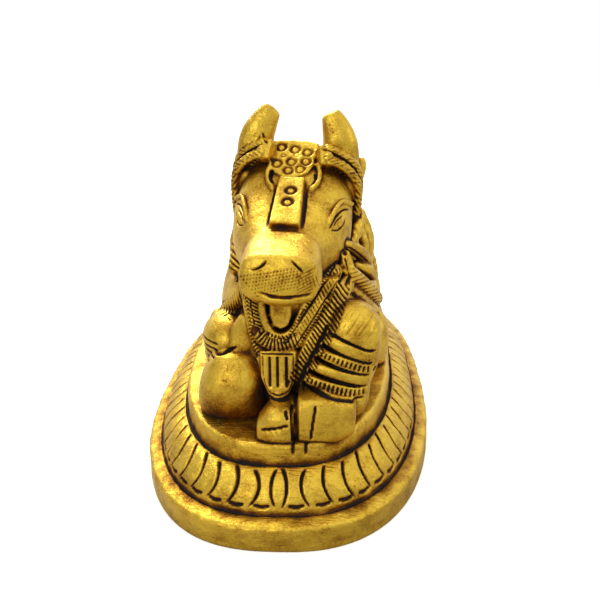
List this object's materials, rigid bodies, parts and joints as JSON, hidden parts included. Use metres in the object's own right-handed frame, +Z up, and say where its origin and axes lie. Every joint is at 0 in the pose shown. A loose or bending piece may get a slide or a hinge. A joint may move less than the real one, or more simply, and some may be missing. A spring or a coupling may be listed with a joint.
{
  "type": "nandi idol",
  "caption": "Small brass nandi: a recumbent bull in halter, necklaces, bell and harness, cast in one with an oval stepped plinth that has a lotus petal band.",
  "frame": {"origin": "middle of the oval underside, on the ground", "axes": "+Z up, -Y the way the bull faces, +X the bull's left side"},
  "size_m": [0.044, 0.081, 0.0496],
  "materials": {
    "brass": "antiqued, highlights polished"
  },
  "bodies": {
    "root": {"nandi_idol": "brass"}
  },
  "joints": []
}
